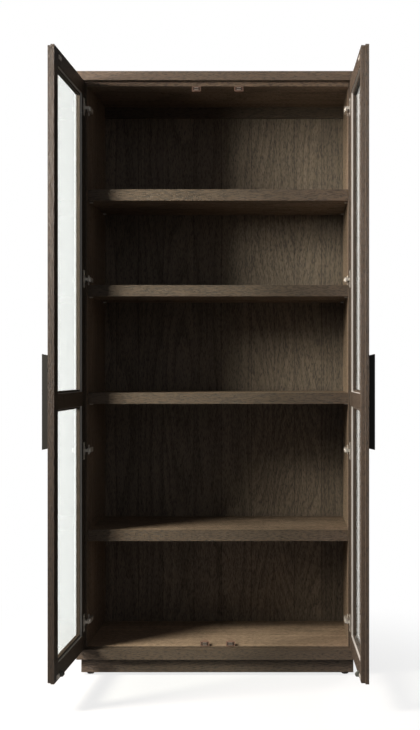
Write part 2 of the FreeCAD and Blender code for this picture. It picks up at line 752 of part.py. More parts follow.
def make_stiles(side, sign):
    pairs = [tenons(sign, low, high) for low, high, below, above in RAILS.values()]
    cups = [
        rod(
            "y",
            door_point(sign, "cup_edge + cup_radius", "cup_depth", hinge_height(number)),
            "cup_radius",
            "cup_depth + 1",
        )
        for number in range(DOWN_THE_DOOR)
    ]
    cup_us = {u for u, z in cup_screw_spots()}
    in_cup_row = door_screw_holes(sign, lambda u, z: u in cup_us)
    hinge_corners = [
        ("0", "0"),
        (STILE_REBATE, "0"),
        (STILE_REBATE, LIP_FACE),
        ("rail_width", LIP_FACE),
        ("rail_width", "door_thickness"),
        ("0", "door_thickness"),
    ]
    mortises = [pair[0] for pair in pairs]
    stile(sign, hinge_corners, mortises + cups + in_cup_row, f"{side}_hinge_stile")

    inner_edge, outer_edge = (LONG_EDGE, SHORT_EDGE) if side == "left" else (SHORT_EDGE, LONG_EDGE)
    half = "(door_thickness / 2 - lap_play / 2)" if side == "left" else "(door_thickness / 2 + lap_play / 2)"
    free_corners = [
        (FREE_REBATE, "0"),
        (inner_edge, "0"),
        (inner_edge, half),
        (outer_edge, half),
        (outer_edge, "door_thickness"),
        (FREE_SIGHT, "door_thickness"),
        (FREE_SIGHT, LIP_FACE),
        (FREE_REBATE, LIP_FACE),
    ]
    mortises = [pair[1] for pair in pairs]
    bolts = [
        rod("y", door_point(sign, f"{HANDLE_U} - handle_base / 2", "door_thickness", z),
            "handle_screw_radius", "door_thickness")
        for z in handle_screw_heights()
    ]
    bottom_strike = list(strike_places())[1][1]
    strikes = door_screw_holes(sign, lambda u, z: z == bottom_strike)
    stile(sign, free_corners, mortises + bolts + strikes, f"{side}_free_stile")


def make_rails(side, sign):
    strikes = list(strike_places())
    for name, (low, high, lip_below, lip_above) in RAILS.items():
        main = door_block(sign, (STILE_REBATE, FREE_REBATE), ("0", "door_thickness"), (low, high))
        corners = [
            door_block(sign, span, (LIP_FACE, "door_thickness"), (low, high))
            for span in ((STILE_REBATE, "rail_width"), (FREE_SIGHT, FREE_REBATE))
        ]
        lips = []
        lip_u = ("rail_width", FREE_SIGHT)
        lip_w = (LIP_FACE, "door_thickness")
        if lip_below:
            lips.append(door_block(sign, lip_u, lip_w, (f"{low} - rebate_width", low)))
        if lip_above:
            lips.append(door_block(sign, lip_u, lip_w, (high, f"{high} + rebate_width")))
        rail = joined([cut(main, corners)] + lips + tenons(sign, low, high))
        holes = []
        if name == "top_rail":
            holes = door_screw_holes(sign, lambda u, z: z == strikes[0][1])
        if name == "bottom_rail":
            holes = door_screw_holes(sign, lambda u, z: z == strikes[1][1])
        hang(cut(rail, holes) if holes else rail, sign, f"{side}_{name}")


def make_glazing(side, sign):
    """Panes against the front lip, and a square bead on each of their four edges behind."""
    beads = []
    back_of_glass = f"({LIP_FACE} - glass_thickness)"
    bead_w = (f"{back_of_glass} - bead_depth", back_of_glass)
    for name, (low, high) in PANES.items():
        pane = door_block(
            sign,
            (f"{STILE_REBATE} + glass_play", f"{FREE_REBATE} - glass_play"),
            (back_of_glass, LIP_FACE),
            (f"{low} + glass_play", f"{high} - glass_play"),
        )
        hang(together([pane]), sign, f"{side}_{name}_glass")
        full = (STILE_REBATE, FREE_REBATE)
        inside = (f"{low} + rebate_width", f"{high} - rebate_width")
        beads.append(door_block(sign, full, bead_w, (low, inside[0])))
        beads.append(door_block(sign, full, bead_w, (inside[1], high)))
        beads.append(door_block(sign, (STILE_REBATE, "rail_width"), bead_w, inside))
        beads.append(door_block(sign, (FREE_SIGHT, FREE_REBATE), bead_w, inside))
    hang(together(beads), sign, f"{side}_glazing_beads")


def make_handle(side, sign):
    """A folded steel pull, a flange on the door and a tapered blade, with its two screws."""
    root = "(handle_length / 2 - handle_taper)"
    base = door_block(
        sign,
        (f"{HANDLE_U} - handle_base", HANDLE_U),
        ("door_thickness", "door_thickness + handle_thickness"),
        (f"middle_rail_height - {root}", f"middle_rail_height + {root}"),
    )
    reach = "(handle_reach + door_thickness)"
    corners = [
        ("hinge_depth - door_thickness", f"-{root}"),
        (f"hinge_depth - {reach}", "-handle_length / 2"),
        (f"hinge_depth - {reach}", "handle_length / 2"),
        ("hinge_depth - door_thickness", root),
    ]
    blade = padded("YZ_Plane", corners, "handle_thickness")
    blade_span = across_door(sign, f"{HANDLE_U} - handle_thickness", HANDLE_U)
    move_to(blade, blade_span[0], "0", "middle_rail_height")
    bolts = []
    for z in handle_screw_heights():
        start = door_point(sign, f"{HANDLE_U} - handle_base / 2", "door_thickness", z)
        shank = rod("y", start, "handle_screw_radius", "door_thickness")
        head_start = door_point(sign, f"{HANDLE_U} - handle_base / 2", "0", z)
        head = rod("y", head_start, "handle_screw_radius * 2.2", "1.6", "handle_screw_radius * 1.7")
        bolts.append(joined([shank, head]))
    hang(joined([base, blade]), sign, f"{side}_handle")
    hang(together(bolts), sign, f"{side}_handle_screws")


def make_cups(side, sign):
    """The moving half of each hinge: flange, cup and the pin that crosses the cup."""
    cups = []
    centre_u = "cup_edge + cup_radius"
    for number in range(DOWN_THE_DOOR):
        z = hinge_height(number)
        shell = rod("y", door_point(sign, centre_u, "cup_depth", z), "cup_radius", "cup_depth")
        flange = door_block(
            sign,
            (f"{centre_u} + 4 - flange_width / 2", f"{centre_u} + 4 + flange_width / 2"),
            ("-flange_thickness", "0"),
            (f"{z} - flange_height / 2", f"{z} + flange_height / 2"),
        )
        rim = rod("y", door_point(sign, centre_u, "0", z), "cup_radius", "flange_thickness")
        hollow = rod(
            "y",
            door_point(sign, centre_u, "cup_depth - cup_wall", z),
            "cup_radius - cup_wall",
            "cup_depth + flange_thickness",
        )
        far_side = "(cup_edge + cup_radius - hinge_inset + pin_radius)"
        reach = f"sqrt((cup_radius - pin_margin)^2 - {far_side}^2)"
        pin = rod("z", ("0", "0", f"{z} - {reach}"), "pin_radius", f"2 * {reach}")
        screws = [
            screw_hole("y", door_point(sign, u, "-(flange_thickness)", height), -1)
            for u, height in cup_screw_spots()
        ]
        cup = cut(joined([shell, flange, rim]), [hollow])
        cups.append(joined([cut(cup, screws), pin]))
    hang(together(cups), sign, f"{side}_hinge_cups")


def make_door_fittings(side, sign):
    strikes = []
    for u, z in strike_places():
        plate = door_block(
            sign,
            (f"{u} - strike_width / 2", f"{u} + strike_width / 2"),
            ("-strike_thickness", "0"),
            (f"{z} - strike_height / 2", f"{z} + strike_height / 2"),
        )
        holes = door_screw_holes(sign, lambda spot_u, spot_z: spot_z == z)
        strikes.append(cut(plate, holes))
    hang(together(strikes), sign, f"{side}_strikes")
    screws = [
        screw("y", door_point(sign, u, f"-({seat})", z), -1) for u, seat, z in door_screw_spots()
    ]
    hang(together(screws), sign, f"{side}_door_screws")
    u = f"({HALF_SPAN} - glide_offset)"
    low = f"({FLOOR} + glide_clearance)"
    corners = [
        ("hinge_depth", low),
        ("hinge_depth + glide_reach - 4", low),
        ("hinge_depth + glide_reach", f"{low} + 4"),
        ("hinge_depth + glide_reach", f"{low} + 9"),
        ("hinge_depth + 4", f"{low} + glide_height"),
        ("hinge_depth", f"{low} + glide_height"),
    ]
    glide = padded("YZ_Plane", corners, "glide_width")
    span = across_door(sign, f"{u} - glide_width / 2", f"{u} + glide_width / 2")
    bind(glide, "Placement.Base.x", span[0])
    hang(together([glide]), sign, f"{side}_door_glide")


# ---------------------------------------------------------------- assembly
make_top_panel()
make_bottom_panel()
make_side_panels()
make_back_panel()
make_top_rails()
make_plinth()
make_feet()
make_shelves()
make_catches()
node(together(dowel_set()), "carcass_dowels")
make_hinge_arms_and_plates()
for door_side, door_sign in SIDES:
    make_stiles(door_side, door_sign)
    make_rails(door_side, door_sign)
    make_glazing(door_side, door_sign)
    make_handle(door_side, door_sign)
    make_cups(door_side, door_sign)
    make_door_fittings(door_side, door_sign)

doc.recompute()
for thing in doc.Objects:
    if "Invalid" in thing.State or "Error" in thing.State:
        raise RuntimeError(f"{thing.Name} ({thing.Label}) failed: {thing.State}")
for thing in NODES:
    if thing.Shape.isNull() or not thing.Shape.isValid():
        raise RuntimeError(f"{thing.Label} has no valid shape")

os.makedirs("parts", exist_ok=True)
for thing in NODES:
    thing.Shape.exportStep(f"parts/{thing.Label}.step")
print(len(NODES), "sub-parts written")
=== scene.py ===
"""Finishes, fittings and stage for the smoked oak bookcase with glazed doors."""

import json
import math

import bmesh
import bpy
from mathutils import Euler, Matrix, Vector


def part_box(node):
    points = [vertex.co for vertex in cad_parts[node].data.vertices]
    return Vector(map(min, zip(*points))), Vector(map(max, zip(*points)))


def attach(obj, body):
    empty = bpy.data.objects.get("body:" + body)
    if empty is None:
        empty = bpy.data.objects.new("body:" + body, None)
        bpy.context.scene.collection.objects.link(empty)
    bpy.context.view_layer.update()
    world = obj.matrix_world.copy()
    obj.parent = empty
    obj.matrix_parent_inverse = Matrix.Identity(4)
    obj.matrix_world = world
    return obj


bl_info = {
    "name": "Glazed Oak Bookcase",
    "version": (1, 0, 0),
    "blender": (4, 5, 0),
    "location": "3D View > Sidebar > Bookcase",
    "description": "Timber, glass, metal and a studio for a bookcase with glass doors",
    "category": "Object",
}

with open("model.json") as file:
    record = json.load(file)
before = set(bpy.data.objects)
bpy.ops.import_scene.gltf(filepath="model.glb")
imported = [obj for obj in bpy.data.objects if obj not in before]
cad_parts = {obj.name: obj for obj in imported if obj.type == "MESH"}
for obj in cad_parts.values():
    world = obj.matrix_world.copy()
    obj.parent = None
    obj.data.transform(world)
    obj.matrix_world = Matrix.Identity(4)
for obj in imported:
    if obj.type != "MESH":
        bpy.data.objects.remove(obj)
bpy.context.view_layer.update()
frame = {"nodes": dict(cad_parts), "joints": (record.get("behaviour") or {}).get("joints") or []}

MM = 0.001
SIDES = ("left", "right")
SIGNS = {"left": -1, "right": 1}


def span(node, axis):
    """Where a CAD node begins and ends along an axis, in mm."""
    low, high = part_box(node)
    return getattr(low, axis) / MM, getattr(high, axis) / MM


# Sizes of the fittings, in mm.
PLATE_HEIGHT = 34.0
PLATE_THICKNESS = 2.5
PLATE_MIDDLE = 37.5  # behind the carcass front
PLATE_SCREW_PITCH = 24.0
ARM_STANDOFF = 13.0  # from the side panel to the face of a hinge arm
ADJUSTERS = (14.0, 48.0)  # screws in a hinge arm, behind the carcass front
ADJUSTER_HEIGHT = 1.0
FLANGE_THICKNESS = 1.0  # of a hinge's cup
FLANGE_SCREWS = 24.5  # from the door's hinge edge
FLANGE_SCREW_PITCH = 48.0
CATCH_WIDTH = 33.0
CATCH_HEIGHT = 17.5
CATCH_DEPTH = 26.0
CATCH_BODY_WIDTH = 18.0  # between the two ears
CATCH_NOSE = 1.2  # in front of the carcass
EAR_THICKNESS = 4.0
STRIKE_THICKNESS = 1.5
STRIKE_SCREW_PITCH = 28.0
HEAD_RADIUS = 3.6
HEAD_HEIGHT = 1.4
MOULDED_EDGE = 0.4

# Places on the carcass, in mm from the middle of its footprint.
CARCASS_FRONT = span("right_side_panel", "y")[0]
INNER_FACE = span("right_side_panel", "x")[0]

# The doors: the right one's hinge axis, in mm, where the axis lies in a door, in mm from its hinge
# edge and from its inner face, and how far the doors stand open at rest.
RIGHT_HINGE = next(joint for joint in frame["joints"] if joint["name"] == "right_door_hinge")
HINGE_AXIS = [place / MM for place in RIGHT_HINGE["pos_m"][:2]]
AXIS_IN_DOOR = (8.0, 11.0)
OPEN_ANGLE = math.radians(-RIGHT_HINGE["range_deg"][0])

# The middles of a door's hinges, evenly spaced between the lowest and the highest, in mm.
HINGES = 4
LOWEST_HINGE = span("left_hinge_plates", "z")[0] + PLATE_HEIGHT / 2
HIGHEST_HINGE = span("left_hinge_plates", "z")[1] - PLATE_HEIGHT / 2
HINGE_PITCH = (HIGHEST_HINGE - LOWEST_HINGE) / (HINGES - 1)
HINGE_HEIGHTS = [LOWEST_HINGE + HINGE_PITCH * hinge for hinge in range(HINGES)]

# The rebates that hold a door's panes, in mm: their two sides, from the hinge edge, their lower and
# upper ends, and the beads' face, from the door's inner face.
GLASS_PLAY = 1.0
REBATE_SIDES = (52.0, 442.0)
REBATE_ENDS = [
    (low - GLASS_PLAY, high + GLASS_PLAY)
    for low, high in (span("left_lower_glass", "z"), span("left_upper_glass", "z"))
]
BEAD_FACE = 8.0

# The boards, by the way their grain runs: (width, thickness, length) axes, how light their solid oak came
# out of the smoking, with painted light or shade on some boards, how light their veneer did, with painted
# light on the faces (0 where they have none), then the nodes.
STILES = ["hinge_stile", "free_stile"]
RAILS = ["top_rail", "middle_rail", "bottom_rail", "glazing_beads"]
TIMBER = {
    "back": ("XYZ", 1.0, 1.0, ["back_panel"]),
    "sides": ("YXZ", 1.0, 1.0, ["left_side_panel", "right_side_panel"]),
    "shelves": ("YZX", 1.05, 1.0, ["top_panel", "shelf_1", "shelf_2", "shelf_3", "shelf_4"]),
    # Painted light: the bottom board's veneer is made lighter than the other boards', for the light that
    # falls on the cabinet's floor.
    "bottom": ("YZX", 1.1, 1.75, ["bottom_panel"]),
    # Painted light: the front rail's oak is made more than twice as light, to stand in for light under the
    # top board's overhang.
    "front_rail": ("ZYX", 2.2, 0.0, ["top_front_rail"]),
    "long_rails": ("ZYX", 0.85, 0.0, ["back_top_rail", "plinth_front", "plinth_back"]),
    "plinth_ends": ("ZXY", 0.85, 0.0, ["plinth_left", "plinth_right"]),
    # Painted shade: the left door's stiles are made darker than the right door's, to take off light that
    # falls on them from the lamps on the left.
    "left_stiles": ("YXZ", 0.42, 0.0, [f"left_{board}" for board in STILES]),
    "right_stiles": ("YXZ", 0.8, 0.0, [f"right_{board}" for board in STILES]),
    "rails": ("ZXY", 0.75, 0.0, [f"{side}_{board}" for side in SIDES for board in RAILS]),
}
SHARP_ARRIS = ("left_glazing_beads", "right_glazing_beads")
PANES = ["left_upper_glass", "left_lower_glass", "right_upper_glass", "right_lower_glass"]
PULLS = ["left_handle", "right_handle", "left_handle_screws", "right_handle_screws"]
NICKELLED = [
    "left_hinge_arms",
    "right_hinge_arms",
    "left_hinge_plates",
    "right_hinge_plates",
    "left_hinge_cups",
    "right_hinge_cups",
    "hinge_plate_screws",
    "left_door_screws",
    "right_door_screws",
    "left_strikes",
    "right_strikes",
    "catch_screws",
    "shelf_supports",
]
CATCHES = ["top_catches", "bottom_catches"]
GLIDES = ["left_door_glide", "right_door_glide"]
FEET = ["front_left_foot", "front_right_foot", "back_left_foot", "back_right_foot"]
BARE_WOOD = ["foot_blocks", "carcass_dowels"]

# The softboxes: where each stands and what it is turned to, and its width, in metres, and its colour.
SOFTBOXES = {
    "key": ((-2.08, -1.27, 2.03), (0.0, 0.2, 1.3), 0.6, "#fff6ec"),
    "side": ((-6.05, -3.19, 2.46), (0.0, 0.1, 1.0), 1.6, "#fff6ec"),
    "high": ((-4.87, -2.56, 5.31), (0.0, 0.1, 1.0), 1.8, "#fff6ec"),
    "fill": ((3.5, -4.97, 3.22), (0.0, 0.1, 1.0), 2.4, "#ffffff"),
    "rear": ((2.8, 3.6, 1.6), (0.0, 0.3, 1.0), 1.6, "#ffffff"),
}


# ---------------------------------------------------------------- settings
def colour(name, hex_value, description):
    """A colour property whose default is an sRGB hex value."""
    return bpy.props.FloatVectorProperty(
        name=name,
        description=description,
        subtype="COLOR",
        size=3,
        min=0.0,
        max=1.0,
        default=linear(hex_value),
    )


def length(name, millimetres, description):
    """A length property whose default is given in millimetres."""
    return bpy.props.FloatProperty(
        name=name,
        description=description,
        default=millimetres * MM,
        min=0.0,
        unit="LENGTH",
        precision=4,
    )


def power(name, watts, description):
    """A lamp's power."""
    return bpy.props.FloatProperty(name=name, description=description, default=watts, min=0.0, unit="POWER")


def linear(hex_value):
    """An sRGB hex colour as linear RGB."""
    values = [int(hex_value[start : start + 2], 16) / 255 for start in (1, 3, 5)]
    return tuple(v / 12.92 if v <= 0.04045 else ((v + 0.055) / 1.055) ** 2.4 for v in values)


class BOOKCASE_PG_timber(bpy.types.PropertyGroup):
    """Colours and sizes of the oak"""

    latewood: colour("Latewood", "#5f5043", "Hard, dense part of each ring, left lighter by the smoking")
    earlywood: colour("Earlywood", "#534639", "Open-pored part of each ring")
    pores: colour("Pores", "#25201d", "Open pores, filled with dark finish")
    beech: colour("Beech", "#b08a63", "Bare beech of the dowels and corner blocks")
    # Partly painted light: besides a veneer lighter than solid oak, this gain stands in for the light that
    # falls on the floor, the shelves and the back.
    veneer_gain: bpy.props.FloatProperty(
        name="Veneer lightness",
        description="How much more light the veneered faces give back than solid oak",
        default=2.0,
        min=0.5,
        max=3.0,
    )
    # Painted sheen: this greyer tint stands in for the sheen of light on the back's veneer.
    back_cast: colour("Cast of the back", "#eaf5ff", "The back's veneer came out of the smoking greyer")
    ring_width: length("Ring width", 3.6, "Growth ring, measured across the tree")
    pore_width: length("Pore width", 2.0, "Width of a pore or brushed furrow")
    pore_length: length("Pore length", 16, "Length of a pore or brushed furrow along the grain")
    leaf_width: length("Veneer leaf", 105, "Mean width of a leaf of veneer")
    joint_width: length("Veneer joint", 2.0, "Dark line between two leaves")
    arris: length("Arris", 0.9, "Radius sanded on the edges of the boards")


class BOOKCASE_PG_fittings(bpy.types.PropertyGroup):
    """Colours and sizes of glass, metal and plastic"""

    glass_tint: colour("Glass tint", "#f6f9f5", "Light that 4 mm float glass lets through")
    seal: colour("Glazing seal", "#d3d0cc", "Pale vinyl strip that covers the bead's joint with the frame")
    powder_coat: colour("Powder coat", "#23221f", "Black of the pulls")
    nickel: colour("Nickel", "#f3efe9", "Plating on hinges, screws and strikes")
    moulding: colour("Moulding", "#86695c", "Brown of the catches")
    glide: colour("Glide", "#5a5d58", "Grey polyamide of the door glides")
    foot: colour("Foot", "#1b1a19", "Polyamide of the feet")
    # Painted shade: the colour of the crosses laid over the screws' recesses.
    recess: colour("Recess", "#1f1d1b", "Shadowed cross in a screw's head")
    magnet: colour("Magnet", "#43352e", "Ferrite between a catch's pole plates")
    fold_radius: length("Fold radius", 0.5, "Softened edges of the metal")


class BOOKCASE_PG_stage(bpy.types.PropertyGroup):
    """Camera, lights and floor"""

    camera_place: bpy.props.FloatVectorProperty(
        name="Camera",
        description="Where the camera stands",
        subtype="XYZ",
        unit="LENGTH",
        default=(0.259, -4.2184, 1.0865),
    )
    lens: bpy.props.FloatProperty(
        name="Lens",
        description="Focal length in millimetres on a 36 mm sensor",
        default=58.59,
        min=1.0,
    )
    shift: bpy.props.FloatVectorProperty(
        name="Shift",
        description="Sideways and upward shift of the lens, in sensor widths",
        size=2,
        default=(-0.1096, 0.0073),
    )
    key_power: power("Key light", 104.0, "Small softbox close to the left, level with the top")
    side_power: power("Side light", 250.0, "Softbox far to the left, above the middle")
    high_power: power("High light", 440.0, "Softbox far to the left, well above")
    fill_power: power("Fill light", 13.0, "Large softbox to the right of the camera")
    rear_power: power("Rear light", 110.0, "Softbox behind to the right, for the back and the side")
    ambient: bpy.props.FloatProperty(
        name="Ambient",
        description="Light that the studio's walls give back",
        default=0.08,
        min=0.0,
    )
    backdrop: bpy.props.FloatProperty(
        name="Backdrop",
        description="White backdrop behind glass, lit beyond what a picture can hold",
        default=2.0,
        min=0.0,
    )
    floor: colour("Floor", "#f2f1ef", "Studio floor")
    floor_radius: length("Floor radius", 1500, "Studio floor, from its middle")
    floor_strength: bpy.props.FloatProperty(
        name="Floor strength",
        description="How much the floor shows against the surround at its middle",
        default=0.22,
        min=0.0,
        max=1.0,
        subtype="FACTOR",
    )


# ---------------------------------------------------------------- node helper
MATH = "ShaderNodeMath"


def add(tree, kind, inputs=(), **settings):
    """Adds a shader node with its settings and links, and returns it.

    inputs lists what the first sockets take, or maps sockets' names or numbers to it: a value, another
    node's output, or a node, which stands for its first output."""
    node = tree.nodes.new(kind)
    for setting, value in settings.items():
        setattr(node, setting, value)
    for socket, value in inputs.items() if isinstance(inputs, dict) else enumerate(inputs):
        if isinstance(value, bpy.types.Node):
            value = value.outputs[0]
        if isinstance(value, bpy.types.NodeSocket):
            tree.links.new(value, node.inputs[socket])
        else:
            node.inputs[socket].default_value = value
    return node


def blank_material(name):
    """A new material, its tree and its shader."""
    material = bpy.data.materials.new(name)
    material.use_nodes = True
    tree = material.node_tree
    tree.nodes.clear()
    shader = add(tree, "ShaderNodeBsdfPrincipled")
    add(tree, "ShaderNodeOutputMaterial", {"Surface": shader})
    return material, tree, shader


def material_output(tree):
    """The node that a material's shader ends in."""
    return next(node for node in tree.nodes if node.type == "OUTPUT_MATERIAL")


def rgba(values):
    """A colour with full opacity."""
    return (*values, 1.0)


# ---------------------------------------------------------------- materials
def veneer_leaves(tree, width, seed, timber):
    """Leaves of veneer side by side: how they are laid out, the place across each, and its chances."""
    # The seed moves the row of leaves along, so that no two boards have the same one.
    shift = add(tree, MATH, (seed, 37.0), operation="MULTIPLY")
    leaf_place = add(tree, MATH, (width, 1 / timber.leaf_width, shift), operation="MULTIPLY_ADD")
    layout = {"W": leaf_place, "Scale": 1.0, "Randomness": 0.75}
    leaves = add(tree, "ShaderNodeTexVoronoi", layout, voronoi_dimensions="1D")
    from_middle = add(tree, MATH, (leaf_place, leaves.outputs["W"]), operation="SUBTRACT")
    board_place = add(tree, MATH, (from_middle, timber.leaf_width), operation="MULTIPLY")
    return layout, board_place, leaves.outputs["Color"]


def clouds(tree, width, depth, along):
    """Soft, slow change from place to place, drawn out along the grain."""
    across, lengthwise = 30.0, 2.0  # clouds to the metre
    place = add(
        tree,
        "ShaderNodeCombineXYZ",
        (
            add(tree, MATH, (width, across), operation="MULTIPLY"),
            add(tree, MATH, (depth, across), operation="MULTIPLY"),
            add(tree, MATH, (along, lengthwise), operation="MULTIPLY"),
        ),
    )
    return add(tree, "ShaderNodeTexNoise", {"Vector": place, "Scale": 1.0, "Detail": 3.0}).outputs["Fac"]


def growth_rings(tree, board_place, depth, along, chances, wander, timber):
    """Place within a growth ring, from 0 where the spring wood begins to 1.

    The heart of the tree lies up to 120 mm to either side and 20 to 80 mm behind the board. Along most
    boards it strays by 10 mm, and along a few by up to 80 mm, which closes the rings into arches."""
    aside, nearest, deepest = 120 * MM, 20 * MM, 80 * MM
    least_bend, most_bend, bends_per_metre, unevenness = 10 * MM, 80 * MM, 1.3, 5 * MM
    sideways, behind, shade = chances.outputs
    heart_place = add(tree, MATH, (sideways, 2 * aside, -aside), operation="MULTIPLY_ADD")
    across = add(tree, MATH, (board_place, heart_place), operation="ADD")
    shift = add(tree, MATH, (behind, 40.0), operation="MULTIPLY")
    bend_place = add(tree, MATH, (along, bends_per_metre, shift), operation="MULTIPLY_ADD")
    bend_inputs = {"W": bend_place, "Scale": 1.0, "Detail": 0.0}
    bend = add(tree, "ShaderNodeTexNoise", bend_inputs, noise_dimensions="1D").outputs["Fac"]
    rarely = add(tree, MATH, (shade, 8.0), operation="POWER")
    reach = add(tree, MATH, (rarely, most_bend - least_bend, least_bend), operation="MULTIPLY_ADD")
    heart = add(tree, MATH, (behind, deepest - nearest, nearest), operation="MULTIPLY_ADD")
    bent = add(tree, MATH, (bend, reach, heart), operation="MULTIPLY_ADD")
    inward = add(tree, MATH, (depth, bent), operation="ADD")
    inward_squared = add(tree, MATH, (inward, inward), operation="MULTIPLY")
    squared = add(tree, MATH, (across, across, inward_squared), operation="MULTIPLY_ADD")
    true_radius = add(tree, MATH, (squared,), operation="SQRT")
    radius = add(tree, MATH, (wander, unevenness, true_radius), operation="MULTIPLY_ADD")
    rings = add(tree, MATH, (radius, 1 / timber.ring_width), operation="MULTIPLY")
    return add(tree, MATH, (rings,), operation="FRACT")


def open_pores(tree, width, depth, along, sideways, early, timber):
    """1 in an open pore. Real ones are a tenth of a millimetre wide, and brushing has opened them into
    these wider furrows, which are closest in the spring wood."""
    shift = add(tree, MATH, (sideways, 91.0), operation="MULTIPLY")
    place = add(
        tree,
        "ShaderNodeCombineXYZ",
        (
            add(tree, MATH, (width, 1 / timber.pore_width, shift), operation="MULTIPLY_ADD"),
            add(tree, MATH, (depth, 1 / timber.pore_width), operation="MULTIPLY"),
            add(tree, MATH, (along, 1 / timber.pore_length), operation="MULTIPLY"),
        ),
    )
    furrow_inputs = {"Vector": place, "Scale": 1.0, "Detail": 2.0, "Roughness": 0.6}
    furrows = add(tree, "ShaderNodeTexNoise", furrow_inputs).outputs["Fac"]
    closeness, pore_from, pore_to = 0.05, 0.49, 0.64
    gathered = add(tree, MATH, (early, closeness, furrows), operation="MULTIPLY_ADD")
    edges = {"Value": gathered, "From Min": pore_from, "From Max": pore_to}
    return add(tree, "ShaderNodeMapRange", edges, interpolation_type="SMOOTHSTEP")


def joints_and_painted_face_light(tree, tone, layout, y, normal, lightness, timber):
    """Darkens the joints between leaves, and lightens the veneered faces: partly a veneer lighter than its
    solid lipping, partly painted light for the light that falls on the floor, the shelves and the back.

    The edges are lipped with solid oak, and so is all that passes the front of the side panels."""
    joint_darkness, face_from, lipping = 0.55, 0.7, 0.2 * MM
    edge_settings = {"voronoi_dimensions": "1D", "feature": "DISTANCE_TO_EDGE"}
    edge = add(tree, "ShaderNodeTexVoronoi", layout, **edge_settings).outputs["Distance"]
    half_joint = timber.joint_width / 2 / timber.leaf_width
    seam = add(tree, MATH, (edge, half_joint), operation="LESS_THAN")
    darkened = add(tree, MATH, (seam, -joint_darkness, 1.0), operation="MULTIPLY_ADD")
    tone = add(tree, MATH, (tone, darkened), operation="MULTIPLY")
    # Painted light, in part: the veneered faces are made lighter, partly for a veneer lighter than its
    # lipping, partly for the light that falls on them.
    turned = add(tree, MATH, (normal,), operation="ABSOLUTE")
    on_face = add(tree, MATH, (turned, face_from), operation="GREATER_THAN")
    behind_front = add(tree, MATH, (y, CARCASS_FRONT * MM + lipping), operation="GREATER_THAN")
    veneered = add(tree, MATH, (on_face, behind_front), operation="MULTIPLY")
    veneer_and_painted_light = add(tree, MATH, (veneered, lightness - 1.0, 1.0), operation="MULTIPLY_ADD")
    return add(tree, MATH, (tone, veneer_and_painted_light), operation="MULTIPLY")


def smoked_oak(name, axes, solid, veneer, sheen_tint, timber):
    """Smoked oak, wire-brushed and given a satin oil: rings, open pores and, on veneer, its leaves.

    The rings are those of a whole tree, cut by the board, which draws arches on some faces, lines on
    the others and on the edges, and arcs on the end grain."""
    material, tree, shader = blank_material(name)
    coordinates = add(tree, "ShaderNodeTexCoord")
    place = add(tree, "ShaderNodeSeparateXYZ", (coordinates.outputs["Object"],)).outputs
    width, depth, along = (place[axis] for axis in axes)
    seed = add(tree, "ShaderNodeObjectInfo").outputs["Random"]
    if veneer:
        layout, board_place, chance = veneer_leaves(tree, width, seed, timber)
    else:
        board_place = width
        chance = add(tree, "ShaderNodeTexWhiteNoise", {"W": seed}, noise_dimensions="1D").outputs["Color"]
    chances = add(tree, "ShaderNodeSeparateColor", (chance,))
    sideways, _, shade = chances.outputs

    wander = clouds(tree, width, depth, along)
    ring = growth_rings(tree, board_place, depth, along, chances, wander, timber)
    # The spring wood fades out over the first five eighths of a ring.
    late = add(tree, MATH, (ring, 1.6), operation="MULTIPLY")
    early = add(tree, MATH, (1.0, late), operation="SUBTRACT", use_clamp=True)
    pore = open_pores(tree, width, depth, along, sideways, early, timber)

    ring_colours = {0: early, 6: rgba(timber.latewood), 7: rgba(timber.earlywood)}
    wood = add(tree, "ShaderNodeMix", ring_colours, data_type="RGBA").outputs[2]
    pore_darkness, ring_height = 0.72, 0.12
    filled = add(tree, MATH, (pore, pore_darkness), operation="MULTIPLY")
    pore_colours = {0: filled, 6: wood, 7: rgba(timber.pores)}
    wood = add(tree, "ShaderNodeMix", pore_colours, data_type="RGBA").outputs[2]

    # The smoking takes unevenly within a board, and differs from board to board.
    cloud = add(tree, MATH, (wander, 0.6, 0.74), operation="MULTIPLY_ADD")
    smoked = add(tree, MATH, (shade, 0.3 * solid, 0.85 * solid), operation="MULTIPLY_ADD")
    tone = add(tree, MATH, (cloud, smoked), operation="MULTIPLY")
    if veneer:
        normal = add(tree, "ShaderNodeSeparateXYZ", (coordinates.outputs["Normal"],)).outputs[axes[1]]
        # The veneered faces get a lightness that is partly painted light.
        lightness = veneer * timber.veneer_gain / solid
        tone = joints_and_painted_face_light(tree, tone, layout, place["Y"], normal, lightness, timber)
    toned = add(tree, "ShaderNodeVectorMath", {0: wood, "Scale": tone}, operation="SCALE")
    # Painted sheen: on the back this tint greys the oak for the sheen of light on it; on the other boards
    # it is white.
    toned = add(tree, "ShaderNodeVectorMath", (toned, sheen_tint), operation="MULTIPLY")
    tree.links.new(toned.outputs[0], shader.inputs["Base Color"])

    # The satin oil dries duller in the pores.
    rough = add(tree, MATH, (pore, 0.22, 0.43), operation="MULTIPLY_ADD")
    tree.links.new(rough.outputs[0], shader.inputs["Roughness"])
    raised = add(tree, MATH, (ring, ring_height), operation="MULTIPLY")
    relief = add(tree, MATH, (pore, -1.0, raised), operation="MULTIPLY_ADD")
    bump = add(tree, "ShaderNodeBump", {"Strength": 0.8, "Distance": 1.0 * MM, "Height": relief})
    tree.links.new(bump.outputs[0], shader.inputs["Normal"])
    shader.inputs["IOR"].default_value = 1.5
    return material


